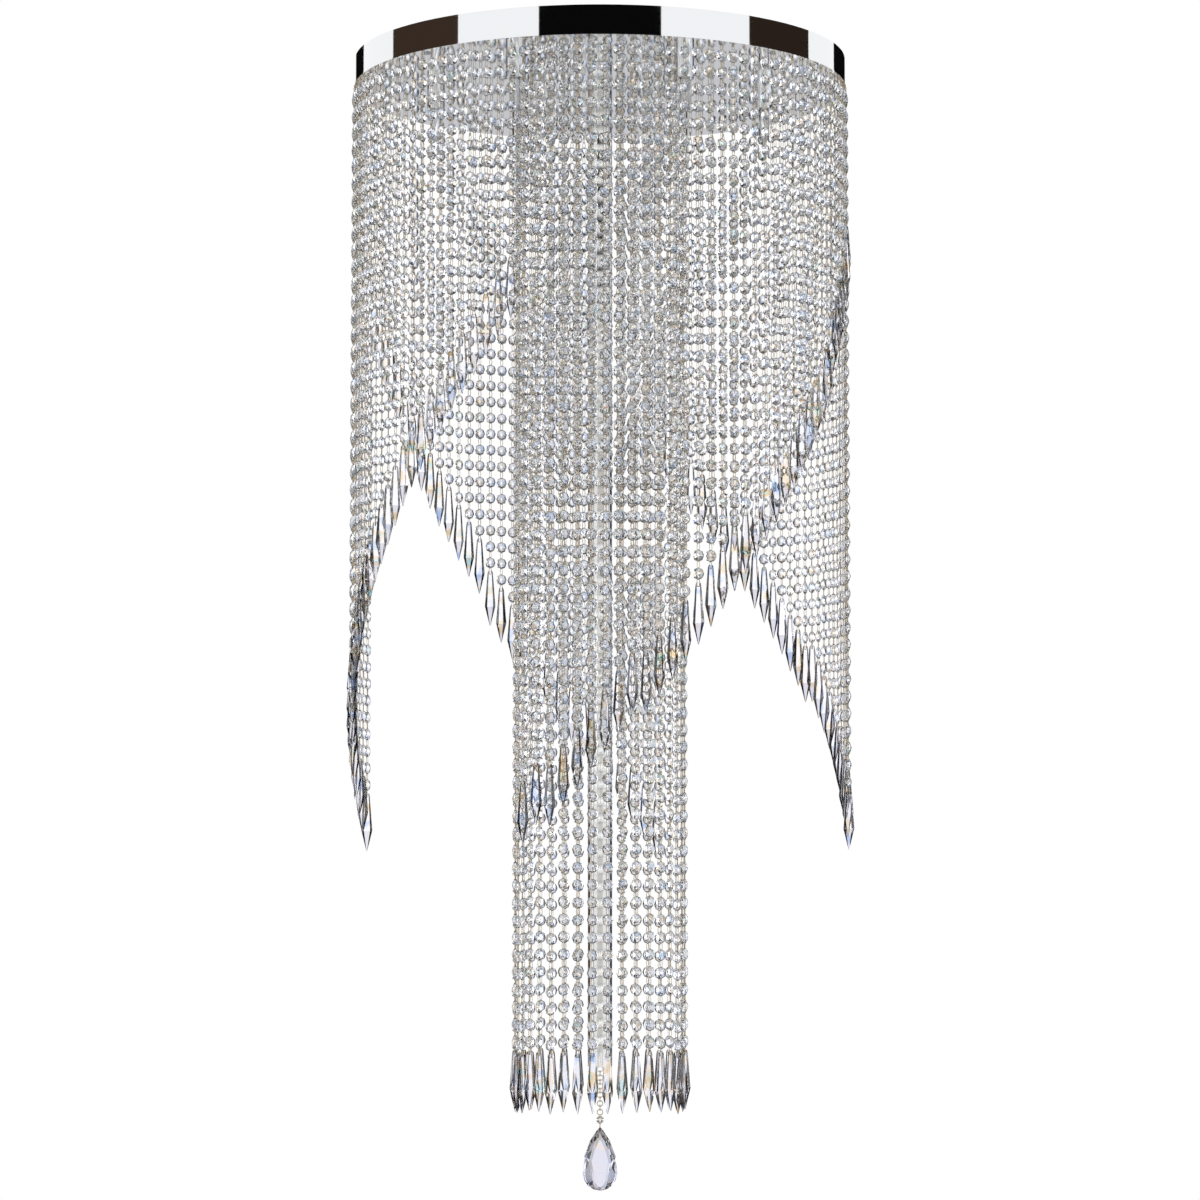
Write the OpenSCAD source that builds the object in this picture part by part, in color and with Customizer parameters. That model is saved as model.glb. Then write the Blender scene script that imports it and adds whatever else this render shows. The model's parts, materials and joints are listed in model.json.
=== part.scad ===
// Crystal ceiling light: a chromed canopy flush with the ceiling, a ring of bead strands
// whose lengths fall off in four spiral arms, an inner column of long strands round a
// polished tube, and a pear drop below. Millimetres, +Z up, origin on the ceiling plane.

/* [Canopy] */
// Outer diameter of the canopy band
canopy_d = 610; // [520:5:700]
// Height of the canopy band
canopy_h = 34.2; // [30:0.2:60]
// Wall of the canopy band
band_wall = 1.2; // [0.8:0.1:2]
// Thickness of the mirror base plate
base_t = 1.2; // [0.8:0.1:2.5]
// How far the base plate stands out past the band
base_lip = 0.6; // [0.3:0.1:2]
// Number of tabs that join band and base
tab_count = 4; // [3:1:8]
// Width of a tab
tab_w = 20; // [12:1:30]
// Length of each leg of a tab
tab_leg = 20; // [16:1:26]
// Sheet thickness of a tab
tab_t = 1.5; // [1:0.1:2.5]
// Diameter of a tab screw
tab_screw_d = 4; // [3:0.5:5]

/* [Ceiling bracket] */
// Length of the bracket strap
bracket_l = 240; // [220:5:300]
// Width of the bracket strap
bracket_w = 30; // [24:1:40]
// Thickness of the bracket strap
bracket_t = 3; // [2:0.5:5]
// Distance between the two outlet box holes
box_hole_spacing = 88.9; // [80:0.1:95]
// Diameter of an outlet box hole
box_hole_d = 5.5; // [4:0.5:6]
// Distance between the two joist holes
joist_hole_spacing = 200; // [180:1:210]
// Diameter of a joist hole
joist_hole_d = 6.5; // [5:0.5:8]
// Distance between the two canopy studs
stud_spacing = 140; // [125:1:155]
// Diameter of a canopy stud
stud_d = 6; // [5:0.5:8]

/* [Hooks] */
// Diameter of the stud that carries a hook eye
hook_stud_d = 1.2; // [1:0.1:1.6]
// Length of that stud down to the wire of its eye
hook_stud_l = 1.5; // [1:0.1:3]
// Radius of an eye, to the middle of its wire
eye_r = 1.7; // [1.6:0.1:2.2]
// Diameter of the wire of an eye
eye_wire_d = 1; // [0.8:0.05:1.1]
// Play between two linked eyes
eye_play = 0.5; // [0.5:0.05:0.8]

/* [Strands] */
// Width of a crystal bead
bead_d = 14; // [12:0.5:15]
// Height of a crystal bead
bead_h = 16; // [13:0.5:18]
// Length of wire that shows between two beads
link_gap = 5.2; // [4:0.2:9]
// Diameter of the strand at its narrowest, between two beads
link_d = 2.4; // [1.6:0.1:3]
// Least space between two strands of the outer ring
outer_gap = 1.8; // [1.5:0.1:4]
// Beads on the longest strand of each spiral arm
longest_beads = 41; // [20:1:50]
// Length of an icicle prism
prism_l = 72; // [50:1:90]
// Widest diameter of an icicle prism
prism_d = 14; // [10:0.5:15]

/* [Column] */
// Diameter of the circle that the column strands hang on
column_d = 208; // [180:2:240]
// Least space between two strands of the column
column_gap = 3.8; // [2.5:0.1:6]
// Beads on each strand of the column
column_beads = 56; // [30:1:60]

/* [Stem] */
// Outer diameter of the polished stem tube
stem_d = 30; // [24:1:40]
// Wall of the stem tube
stem_wall = 1.5; // [1:0.1:2.5]
// Length of the stem tube
stem_l = 1200; // [800:5:1240]
// Diameter of the flange at the top of the stem
flange_d = 64; // [50:1:80]
// Thickness of the flange and of the end cap
flange_t = 5; // [3:0.5:8]
// Length of the spigots that centre the tube
spigot_l = 14; // [8:1:25]
// Diameter of the tie rod inside the stem
rod_d = 8; // [6:0.5:10]

/* [Pendant] */
// Radius of a pendant ring, to the middle of its wire
ring_r = 3.4; // [3:0.1:4.5]
// Diameter of the wire of a pendant ring
ring_wire_d = 1.2; // [1:0.1:1.4]
// Play between two pendant rings
ring_play = 0.4; // [0.3:0.05:0.6]
// Number of rings in the pendant chain
ring_count = 9; // [3:2:11]
// Diameter of the small round bead over the pear drop
small_bead_d = 10; // [7:0.5:14]
// Height of the pear drop
pear_h = 77; // [60:1:90]
// Width of the pear drop
pear_w = 42; // [34:1:50]
// Thickness of the pear drop
pear_t = 20; // [14:1:26]

/* [Lamps] */
// Number of lamps round the canopy
lamp_count = 6; // [4:1:8]
// Diameter of a lampholder
holder_d = 22; // [18:1:28]
// Height of a lampholder below the base plate
holder_h = 24; // [18:1:30]
// Diameter of a glass lamp capsule
lamp_d = 13.5; // [11:0.5:16]
// Length of a glass lamp capsule
lamp_l = 40; // [30:1:50]

/* [Hidden] */

// Smoothness of round parts
$fn = 48;
// Smoothness of beads, prisms, eyes and rings
small_fn = 24;
// Running clearance of a threaded or pushed-in part, all round
fit = 0.05;
// Clearance hole over a screw or stud, on the radius
slack = 0.3;

// Canopy
canopy_r = canopy_d / 2;
band_inner_r = canopy_r - band_wall;
base_r = canopy_r + base_lip;
base_top = -canopy_h;
base_bottom = base_top - base_t;
// Flat tabs stand just inside the curved band
tab_x = sqrt(pow(band_inner_r, 2) - pow(tab_w / 2, 2)) - fit;
tab_screw_x = tab_x - tab_leg / 2 - tab_t;
tab_first_angle = 45;
screw_head_h = 0.4 * tab_screw_d;

// Bracket and studs
stud_r = stud_d / 2;
nut_h = 0.8 * stud_d;
cap_nut_r = 1.1 * stud_d;
cap_nut_h = 1.2 * stud_d;
stud_below = 0.8 * cap_nut_h;

// Hooks: the outer circle of hooks stands just inside the rim of the base plate
rim_margin = 0.1;
wire_r = eye_wire_d / 2;
hook_r = base_r - hook_stud_d / 2 - rim_margin;
hook_eye_z = base_bottom - hook_stud_l - eye_r;
// A linked eye hangs with its top wire just over the bottom wire of the hook
strand_eye_z = hook_eye_z - (2 * eye_r - eye_wire_d - eye_play);

// Strands: the first bead starts at the bottom wire of the strand's eye
pitch = bead_h + link_gap;
bead_r = bead_d / 2;
link_r = link_d / 2;
first_bead_z = strand_eye_z - eye_r - pitch / 2;
prism_top_r = 3;
prism_neck_l = 4;
prism_neck_r = 3.6;
prism_wide_share = 0.63;
prism_tip_r = 0.5;

// The outer ring hangs in twelve sectors of like strands
outer_sectors = 12;
sector_strands = floor(2 * PI * hook_r / (bead_d + outer_gap) / outer_sectors);
outer_count = outer_sectors * sector_strands;
outer_step = 360 / outer_count;
// Angle of the first strand, measured from the front and rising to the right
first_angle = -107;
// Four spiral arms: where each starts, measured from the first strand, the beads on its
// last and shortest strand, and how its fall curves, where 1 is a straight fall
arm_start = [0, 90, 195, 273, 360];
arm_short = [12, 8, 18, 11];
arm_curve = [1, 1.12, 1.08, 1.05];

// The column hangs in six sectors
column_r = column_d / 2;
column_sectors = 6;
column_sector_strands = floor(2 * PI * column_r / (bead_d + column_gap) / column_sectors);
column_step = 360 / (column_sectors * column_sector_strands);
// A gap between two strands faces the front
column_first_angle = column_step / 2;

// Stem
stem_r = stem_d / 2;
stem_inner_r = stem_r - stem_wall;
rod_r = rod_d / 2;
flange_z = base_bottom - flange_t;
stem_bottom = flange_z - stem_l;
cap_bottom = stem_bottom - flange_t;
rod_nut_h = 0.8 * rod_d;
// Length of rod above its nut, and of tube below the end of the rod
rod_above = 2;
rod_below = 3;
rod_top = base_top + rod_nut_h + rod_above;
rod_bottom = stem_bottom + rod_below;

// Pendant: rings hang linked below the eye of the end cap, each turned a quarter
ring_wire_r = ring_wire_d / 2;
ring_drop = 2 * ring_r - ring_wire_d - ring_play;
cap_eye_z = cap_bottom - ring_r;
pin_eye_z = cap_eye_z - (ring_count + 1) * ring_drop;
small_bead_r = small_bead_d / 2;
// Lengths of the pin that show above and below the small bead
pin_above = 1;
pin_below = 3.6;
small_bead_z = pin_eye_z - ring_r - pin_above - small_bead_r;
pin_r = 0.7;
pear_top = small_bead_z - small_bead_r - pin_below;
pear_bottom = pear_top - pear_h;
pear_r = pear_w / 2;
pear_tip_r = 3;
pear_belly_z = pear_bottom + pear_r;
pear_bore_depth = 9;
table_share = 0.55;
girdle_t = 2;

// Lamps stand midway between the column and the outer ring
lamp_ring_r = (column_r + hook_r) / 2;
holder_r = holder_d / 2;
holder_boss_r = 5;
holder_boss_h = 9;
socket_depth = 14;
lamp_r = lamp_d / 2;
lamp_cap_r = 0.75 * lamp_r;
lamp_cap_clear = 0.2;
lamp_gap = 1;
lamp_first_angle = 30;

// Wiring on top of the base plate
lead_r = 1.2;
lead_ring_r = lamp_ring_r - holder_boss_r - lead_r - fit;
lead_z = base_top + lead_r + fit;
block_l = 40;
block_w = 16;
block_h = 14;
block_y = 62;
block_screw_r = 2;
block_screw_depth = 6;
earth_x = -40;
earth_screw_r = 2.5;
earth_screw_l = 12;
earth_nut_r = 4.6;

// A round wire ring that stands upright, its hole facing along Y
module upright_ring(ring, wire) {
  rotate([90, 0, 0]) rotate_extrude($fn = small_fn) translate([ring, 0]) circle(wire);
}

// Children set at an angle round the light, measured from the front, facing outwards
module around(angle, radius) {
  rotate([0, 0, angle - 90]) translate([radius, 0, 0]) children();
}

// A hexagon nut with its bore, standing on z = 0
module hex_nut(bore_r, height) {
  difference() {
    cylinder(r = 1.9 * bore_r, h = height, $fn = 6);
    translate([0, 0, -1]) cylinder(r = bore_r + fit, h = height + 2);
  }
}

// Beads on the outer strand at one angle from the first strand
function arm_at(angle) = max([for (arm = [0 : 3]) angle >= arm_start[arm] - 0.01 ? arm : 0]);
function arm_share(angle, arm) =
  (angle - arm_start[arm]) / (arm_start[arm + 1] - arm_start[arm] - outer_step);
function outer_beads(angle) =
  let (arm = arm_at(angle), fall = pow(min(1, arm_share(angle, arm)), arm_curve[arm]))
  round(longest_beads - (longest_beads - arm_short[arm]) * fall);

// Angle of a column strand, counted from 0
function column_angle(number) = column_first_angle + number * column_step;

// Lowest point of a strand with so many beads
function strand_end(beads) = first_bead_z - (beads - 0.5) * pitch;

// One strand: an eye to hang by and a string of beads that draws in at each link
module strand(beads) {
  top = first_bead_z + pitch / 2;
  zigzag = [for (i = [0 : beads - 1]) each [
    [bead_r, first_bead_z - i * pitch],
    [link_r, first_bead_z - (i + 0.5) * pitch]
  ]];
  translate([0, 0, strand_eye_z]) rotate([0, 0, 90]) upright_ring(eye_r, wire_r);
  rotate_extrude($fn = small_fn)
    polygon(concat([[0, top], [link_r, top]], zigzag, [[0, strand_end(beads)]]));
}

// One icicle prism below a strand: slim at the top, widest low down, pointed
module prism(beads) {
  translate([0, 0, strand_end(beads)])
    rotate_extrude($fn = small_fn)
      polygon([
        [0, 0], [prism_top_r, 0], [prism_neck_r, -prism_neck_l],
        [prism_d / 2, -prism_wide_share * prism_l], [prism_tip_r, -prism_l], [0, -prism_l]
      ]);
}

// A hook: a stud under the base plate with an eye whose hole faces along the ring
module hook() {
  translate([0, 0, hook_eye_z]) upright_ring(eye_r, wire_r);
  translate([0, 0, hook_eye_z + eye_r]) cylinder(d = hook_stud_d, h = hook_stud_l, $fn = small_fn);
}

module outer_strands(sector) {
  color("gainsboro")
    for (i = [0 : sector_strands - 1]) {
      turn = ((sector - 1) * sector_strands + i) * outer_step;
      around(first_angle + turn, hook_r) strand(outer_beads(turn));
    }
}

module outer_prisms(sector) {
  color("lightsteelblue")
    for (i = [0 : sector_strands - 1]) {
      turn = ((sector - 1) * sector_strands + i) * outer_step;
      around(first_angle + turn, hook_r) prism(outer_beads(turn));
    }
}

module column_strands(sector) {
  color("gainsboro")
    for (i = [0 : column_sector_strands - 1])
      around(column_angle((sector - 1) * column_sector_strands + i), column_r)
        strand(column_beads);
}

module column_prisms(sector) {
  color("lightsteelblue")
    for (i = [0 : column_sector_strands - 1])
      around(column_angle((sector - 1) * column_sector_strands + i), column_r)
        prism(column_beads);
}

module outer_hooks() {
  color("silver")
    for (i = [0 : outer_count - 1])
      around(first_angle + i * outer_step, hook_r) hook();
}

module inner_hooks() {
  color("silver")
    for (i = [0 : column_sectors * column_sector_strands - 1])
      around(column_angle(i), column_r) hook();
}

// Steel strap screwed to the ceiling
module ceiling_bracket() {
  color("lightgrey")
    translate([0, 0, -bracket_t])
      difference() {
        translate([-bracket_l / 2, -bracket_w / 2, 0]) cube([bracket_l, bracket_w, bracket_t]);
        for (side = [-1, 1]) {
          translate([side * box_hole_spacing / 2, 0, -1]) cylinder(d = box_hole_d, h = bracket_t + 2);
          translate([side * joist_hole_spacing / 2, 0, -1]) cylinder(d = joist_hole_d, h = bracket_t + 2);
          translate([side * stud_spacing / 2, 0, -1]) cylinder(r = stud_r + fit, h = bracket_t + 2);
        }
      }
}

// Threaded studs from the strap down through the base plate
module bracket_studs() {
  color("silver")
    for (side = [-1, 1])
      translate([side * stud_spacing / 2, 0, base_bottom - stud_below])
        cylinder(r = stud_r, h = -base_bottom + stud_below - fit);
}

// Nuts that lock the studs under the strap and hold the tie rod on the base plate
module hex_nuts() {
  color("silver") {
    for (side = [-1, 1])
      translate([side * stud_spacing / 2, 0, -bracket_t - nut_h]) hex_nut(stud_r, nut_h);
    translate([0, 0, base_top]) hex_nut(rod_r, rod_nut_h);
  }
}

// Mirror-polished band
module canopy_band() {
  color("gainsboro")
    translate([0, 0, base_top])
      difference() {
        cylinder(r = canopy_r, h = canopy_h, $fn = 96);
        translate([0, 0, -1]) cylinder(r = band_inner_r, h = canopy_h + 2, $fn = 96);
      }
}

// Mirror-polished plate that carries hooks, lamps and stem
module canopy_base() {
  color("whitesmoke")
    translate([0, 0, base_bottom])
      difference() {
        cylinder(r = base_r, h = base_t, $fn = 96);
        translate([0, 0, -1]) cylinder(r = rod_r + slack, h = base_t + 2);
        for (side = [-1, 1])
          translate([side * stud_spacing / 2, 0, -1]) cylinder(r = stud_r + slack, h = base_t + 2);
        for (i = [0 : lamp_count - 1])
          around(lamp_first_angle + i * 360 / lamp_count, lamp_ring_r)
            translate([0, 0, -1]) cylinder(r = holder_boss_r + slack, h = base_t + 2);
        for (i = [0 : tab_count - 1])
          around(tab_first_angle + i * 360 / tab_count, tab_screw_x)
            translate([0, 0, -1]) cylinder(d = tab_screw_d + 2 * fit, h = base_t + 2);
      }
}

// Angle tabs welded inside the band
module band_tabs() {
  color("silver")
    for (i = [0 : tab_count - 1])
      around(tab_first_angle + i * 360 / tab_count, 0)
        difference() {
          union() {
            translate([tab_x - tab_leg, -tab_w / 2, base_top]) cube([tab_leg, tab_w, tab_t]);
            translate([tab_x - tab_t, -tab_w / 2, base_top]) cube([tab_t, tab_w, tab_leg]);
          }
          translate([tab_screw_x, 0, base_top - 1]) cylinder(d = tab_screw_d + 2 * fit, h = tab_t + 2);
        }
}

// Screws with low heads that draw the base plate against the tabs
module tab_screws() {
  color("silver")
    for (i = [0 : tab_count - 1])
      around(tab_first_angle + i * 360 / tab_count, tab_screw_x)
        translate([0, 0, base_bottom - screw_head_h]) {
          cylinder(d = 1.8 * tab_screw_d, h = screw_head_h);
          cylinder(d = tab_screw_d, h = screw_head_h + base_t + tab_t + 3);
        }
}

// Domed nuts that close the studs below the base plate
module cap_nuts() {
  color("gainsboro")
    for (side = [-1, 1])
      translate([side * stud_spacing / 2, 0, base_bottom])
        difference() {
          union() {
            translate([0, 0, -cap_nut_h]) cylinder(r = cap_nut_r, h = cap_nut_h);
            translate([0, 0, -cap_nut_h]) sphere(r = cap_nut_r);
          }
          translate([0, 0, -stud_below - fit]) cylinder(r = stud_r + fit, h = stud_below + 1);
        }
}

// Flange that centres the top of the stem under the base plate
module stem_flange() {
  color("gainsboro")
    difference() {
      union() {
        translate([0, 0, flange_z]) cylinder(d = flange_d, h = flange_t);
        translate([0, 0, flange_z - spigot_l]) cylinder(r = stem_inner_r - fit, h = spigot_l + 1);
      }
      translate([0, 0, flange_z - spigot_l - 1])
        cylinder(r = rod_r + fit, h = spigot_l + flange_t + 2);
    }
}

module stem_tube() {
  color("gainsboro")
    translate([0, 0, stem_bottom])
      difference() {
        cylinder(r = stem_r, h = stem_l);
        translate([0, 0, -1]) cylinder(r = stem_inner_r, h = stem_l + 2);
      }
}

// Threaded rod that clamps flange, tube and end cap to the base plate
module tie_rod() {
  color("silver")
    translate([0, 0, rod_bottom]) cylinder(r = rod_r, h = rod_top - rod_bottom);
}

// Cap that closes the stem and carries the pendant's eye
module stem_end_cap() {
  color("gainsboro") {
    difference() {
      union() {
        translate([0, 0, cap_bottom]) cylinder(r = stem_r, h = flange_t);
        translate([0, 0, stem_bottom - 1]) cylinder(r = stem_inner_r - fit, h = spigot_l + 1);
      }
      translate([0, 0, rod_bottom - fit]) cylinder(r = rod_r + fit, h = spigot_l + 1);
    }
    translate([0, 0, cap_eye_z]) upright_ring(ring_r, ring_wire_r);
  }
}

// Ceramic lampholders with a threaded boss through the base plate
module lampholders() {
  color("ivory")
    for (i = [0 : lamp_count - 1])
      around(lamp_first_angle + i * 360 / lamp_count, lamp_ring_r)
        difference() {
          union() {
            translate([0, 0, base_bottom - holder_h]) cylinder(r = holder_r, h = holder_h);
            translate([0, 0, base_bottom - 1]) cylinder(r = holder_boss_r, h = base_t + holder_boss_h);
          }
          translate([0, 0, base_bottom - holder_h - 1])
            cylinder(r = lamp_cap_r + lamp_cap_clear, h = socket_depth + 1);
        }
}

// Clear glass capsules pushed into the lampholders
module lamps() {
  color("azure")
    for (i = [0 : lamp_count - 1])
      around(lamp_first_angle + i * 360 / lamp_count, lamp_ring_r)
        translate([0, 0, base_bottom - holder_h]) {
          translate([0, 0, -lamp_gap - 1]) cylinder(r = lamp_cap_r, h = socket_depth + lamp_gap + 1 - fit);
          translate([0, 0, lamp_r - lamp_gap - lamp_l]) cylinder(r = lamp_r, h = lamp_l - lamp_r);
          translate([0, 0, lamp_r - lamp_gap - lamp_l]) sphere(r = lamp_r);
        }
}

// Places of the three ways of the terminal block
module block_ways() {
  for (way = [-1, 0, 1]) translate([way * block_l / 3, block_y, base_top + block_h]) children();
}

module terminal_block() {
  color("white")
    difference() {
      translate([-block_l / 2, block_y - block_w / 2, base_top]) cube([block_l, block_w, block_h]);
      block_ways()
        translate([0, 0, -block_screw_depth]) cylinder(r = block_screw_r + fit, h = block_screw_depth + 1);
    }
}

module terminal_screws() {
  color("silver")
    block_ways()
      translate([0, 0, fit - block_screw_depth]) cylinder(r = block_screw_r, h = block_screw_depth - 1);
}

// Earth screw standing on the base plate, with its nut
module earth_terminal() {
  color("goldenrod")
    translate([earth_x, block_y, base_top]) {
      cylinder(r = earth_screw_r, h = earth_screw_l);
      cylinder(r = earth_nut_r, h = earth_screw_l / 3, $fn = 6);
    }
}

// Insulated lead that runs past every lampholder and in to the terminal block
module wiring_leads() {
  color("dimgrey")
    translate([0, 0, lead_z]) {
      rotate_extrude($fn = 96) translate([lead_ring_r, 0]) circle(lead_r, $fn = small_fn);
      translate([0, block_y + block_w / 2, 0]) rotate([-90, 0, 0])
        cylinder(r = lead_r, h = lead_ring_r - block_y - block_w / 2, $fn = small_fn);
    }
}

module pendant_chain() {
  color("silver")
    for (i = [1 : ring_count])
      translate([0, 0, cap_eye_z - i * ring_drop]) rotate([0, 0, 90 * i])
        upright_ring(ring_r, ring_wire_r);
}

// Wire pin that hangs from the chain, runs through the small bead and ends in the pear
module pendant_pin() {
  color("silver") {
    translate([0, 0, pin_eye_z]) rotate([0, 0, 90 * (ring_count + 1)]) upright_ring(ring_r, ring_wire_r);
    translate([0, 0, pear_top - pear_bore_depth + fit])
      cylinder(r = pin_r, h = pin_eye_z - ring_r - pear_top + pear_bore_depth - fit, $fn = small_fn);
  }
}

module pendant_bead() {
  color("azure")
    difference() {
      translate([0, 0, small_bead_z]) sphere(r = small_bead_r);
      translate([0, 0, small_bead_z - small_bead_r - 1]) cylinder(r = pin_r + fit, h = small_bead_d + 2);
    }
}

// Outline of the pear drop drawn in to a share of its size, as a thin plate
module pear_plate(share, thickness) {
  middle = (pear_top + pear_bottom) / 2;
  translate([0, thickness / 2, middle]) rotate([90, 0, 0]) linear_extrude(thickness)
    scale(share) hull() {
      translate([0, pear_belly_z - middle]) circle(pear_r, $fn = 16);
      translate([0, pear_top - pear_tip_r - middle]) circle(pear_tip_r, $fn = 16);
    }
}

// Pear drop: a girdle, with a smaller flat table on the front and on the back
module pear_drop() {
  color("azure")
    difference() {
      hull() {
        pear_plate(1, girdle_t);
        pear_plate(table_share, pear_t);
      }
      translate([0, 0, pear_top - pear_bore_depth])
        cylinder(r = pin_r + fit, h = pear_bore_depth + 1, $fn = small_fn);
    }
}

ceiling_bracket();
bracket_studs();
hex_nuts();
canopy_band();
canopy_base();
band_tabs();
tab_screws();
cap_nuts();
outer_hooks();
inner_hooks();
stem_flange();
stem_tube();
tie_rod();
stem_end_cap();
lampholders();
lamps();
terminal_block();
terminal_screws();
earth_terminal();
wiring_leads();
for (s = [1 : outer_sectors]) {
  outer_strands(s);
  outer_prisms(s);
}
for (s = [1 : column_sectors]) {
  column_strands(s);
  column_prisms(s);
}
pendant_chain();
pendant_pin();
pendant_bead();
pear_drop();
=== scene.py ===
"""Crystal ceiling light: its cut crystal, its wire and its finishes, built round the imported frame."""

import json
import math
import random

import bmesh
import bpy
from bpy.props import FloatProperty, FloatVectorProperty, IntProperty, PointerProperty
from mathutils import Matrix, Vector


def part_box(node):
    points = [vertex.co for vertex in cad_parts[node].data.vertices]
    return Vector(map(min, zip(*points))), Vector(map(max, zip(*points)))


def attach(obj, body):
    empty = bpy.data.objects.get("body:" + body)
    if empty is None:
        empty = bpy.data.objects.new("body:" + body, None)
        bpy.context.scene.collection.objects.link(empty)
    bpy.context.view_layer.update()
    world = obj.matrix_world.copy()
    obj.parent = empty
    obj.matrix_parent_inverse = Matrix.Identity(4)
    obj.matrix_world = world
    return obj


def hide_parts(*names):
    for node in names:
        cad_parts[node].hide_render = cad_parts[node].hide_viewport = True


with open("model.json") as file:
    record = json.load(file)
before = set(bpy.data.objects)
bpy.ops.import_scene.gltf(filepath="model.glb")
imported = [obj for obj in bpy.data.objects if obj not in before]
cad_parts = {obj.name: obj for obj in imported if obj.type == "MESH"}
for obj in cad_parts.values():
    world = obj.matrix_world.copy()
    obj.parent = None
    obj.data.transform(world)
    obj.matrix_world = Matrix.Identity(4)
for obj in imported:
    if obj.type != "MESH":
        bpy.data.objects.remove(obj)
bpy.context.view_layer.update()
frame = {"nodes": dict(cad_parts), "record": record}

bl_info = {
    "name": "Crystal ceiling light",
    "version": (1, 0, 0),
    "blender": (4, 5, 0),
    "location": "View3D > Sidebar > Ceiling light",
    "description": "Dresses the frame of a crystal ceiling light with cut crystal, wire and finishes",
    "category": "Object",
}

MM = 0.001
NEAR = 0.1 * MM      # A point or face this close to a plane counts as on it
FACING = 0.99        # A face whose normal has this share along an axis counts as facing that way
# What each row of random draws starts from, so that every run gives the same light
SEEDS = {"slack": 5, "beads": 11, "links": 23, "prisms": 37}


def linear(hex_colour):
    """An sRGB hex colour such as "#d9dcdf" as linear red, green, blue and alpha."""
    channels = []
    for start in (1, 3, 5):
        value = int(hex_colour[start:start + 2], 16) / 255
        channels.append(value / 12.92 if value <= 0.04045 else ((value + 0.055) / 1.055) ** 2.4)
    return (*channels, 1.0)


class StrandSizes(bpy.types.PropertyGroup):
    """Sizes of the bead strands, in step with the frame's hooks"""

    bead_width: FloatProperty(
        name="Bead width", description="Width of a cut bead from side to side",
        default=14 * MM, unit="LENGTH")
    bead_height: FloatProperty(
        name="Bead height", description="Height of a cut bead",
        default=14.8 * MM, unit="LENGTH")
    bead_girdle: FloatProperty(
        name="Bead girdle", description="Thickness of a bead at its rim",
        default=0.6 * MM, unit="LENGTH")
    rim_width: FloatProperty(
        name="Rim width", description="Width of the steep facets round a bead's rim",
        default=0.5 * MM, unit="LENGTH")
    rim_slope: FloatProperty(
        name="Rim slope", description="Slope of the steep facets round a bead's rim",
        default=math.radians(70), subtype="ANGLE")
    break_width: FloatProperty(
        name="Break width", description="Width of the facets between a bead's rim and crown",
        default=1.6 * MM, unit="LENGTH")
    break_slope: FloatProperty(
        name="Break slope", description="Slope of the facets between a bead's rim and crown",
        default=math.radians(28.5), subtype="ANGLE")
    crown_slope: FloatProperty(
        name="Crown slope", description="Slope of the large facets of a bead",
        default=math.radians(21), subtype="ANGLE")
    bead_table: FloatProperty(
        name="Bead table", description="Share of a bead's width that its flat table takes",
        default=0.16, subtype="FACTOR", min=0.05, max=0.9)
    link_gap: FloatProperty(
        name="Link gap", description="Length of wire that shows between two beads",
        default=6.4 * MM, unit="LENGTH")
    link_width: FloatProperty(
        name="Link width", description="Width of a wire link between the middles of its wires",
        default=3.4 * MM, unit="LENGTH")
    link_wire: FloatProperty(
        name="Link wire", description="Diameter of the wire of a link",
        default=0.9 * MM, unit="LENGTH")
    link_reach: FloatProperty(
        name="Link reach", description="How far a link reaches into a bead",
        default=2.0 * MM, unit="LENGTH")
    swivel: FloatProperty(
        name="Swivel", description="Most that a strand or a link turns away from facing outwards",
        default=math.radians(26), subtype="ANGLE")
    slack: FloatProperty(
        name="Slack", description="Most that a strand runs short, as a share of its length",
        default=0.004, precision=4)
    wobble: FloatProperty(
        name="Wobble", description="Most that a bead turns away from the rest of its strand",
        default=math.radians(6), subtype="ANGLE")


class RingSizes(bpy.types.PropertyGroup):
    """How the strands stand round the light"""

    outer_count: IntProperty(name="Outer strands", description="Strands in the outer ring", default=120)
    outer_radius: FloatProperty(
        name="Outer radius", description="Radius of the outer circle of hooks",
        default=304.9 * MM, unit="LENGTH")
    outer_first: FloatProperty(
        name="First outer strand", description="Angle of the first outer strand from the front",
        default=math.radians(-107), subtype="ANGLE")
    outer_sectors: IntProperty(
        name="Outer sectors", description="Bodies that the outer ring is split into", default=12)
    column_count: IntProperty(name="Column strands", description="Strands in the column", default=36)
    column_radius: FloatProperty(
        name="Column radius", description="Radius of the inner circle of hooks",
        default=104 * MM, unit="LENGTH")
    column_first: FloatProperty(
        name="First column strand", description="Angle of the first column strand from the front",
        default=math.radians(5), subtype="ANGLE")
    column_sectors: IntProperty(
        name="Column sectors", description="Bodies that the column is split into", default=6)
    hook_eye_height: FloatProperty(
        name="Hook eye height", description="Height of the middle of a hook's eye",
        default=-38.6 * MM, unit="LENGTH")
    first_bead_height: FloatProperty(
        name="First bead height", description="Height of the middle of the first bead",
        default=-52.8 * MM, unit="LENGTH")


class PrismSizes(bpy.types.PropertyGroup):
    """Sizes of an icicle prism"""

    length: FloatProperty(
        name="Length", description="Length of an icicle prism",
        default=72 * MM, unit="LENGTH")
    width: FloatProperty(
        name="Width", description="Greatest width of an icicle prism",
        default=13.8 * MM, unit="LENGTH")
    flatness: FloatProperty(
        name="Flatness", description="Depth of a prism as a share of its width",
        default=0.86, subtype="FACTOR", min=0.3, max=1)
    front: FloatProperty(
        name="Front facet", description="Width of the front facet as a share of the prism's width",
        default=0.56, subtype="FACTOR", min=0.3, max=0.9)
    swivel: FloatProperty(
        name="Swivel", description="Most that a prism turns away from the front",
        default=0.22, subtype="ANGLE")


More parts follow.
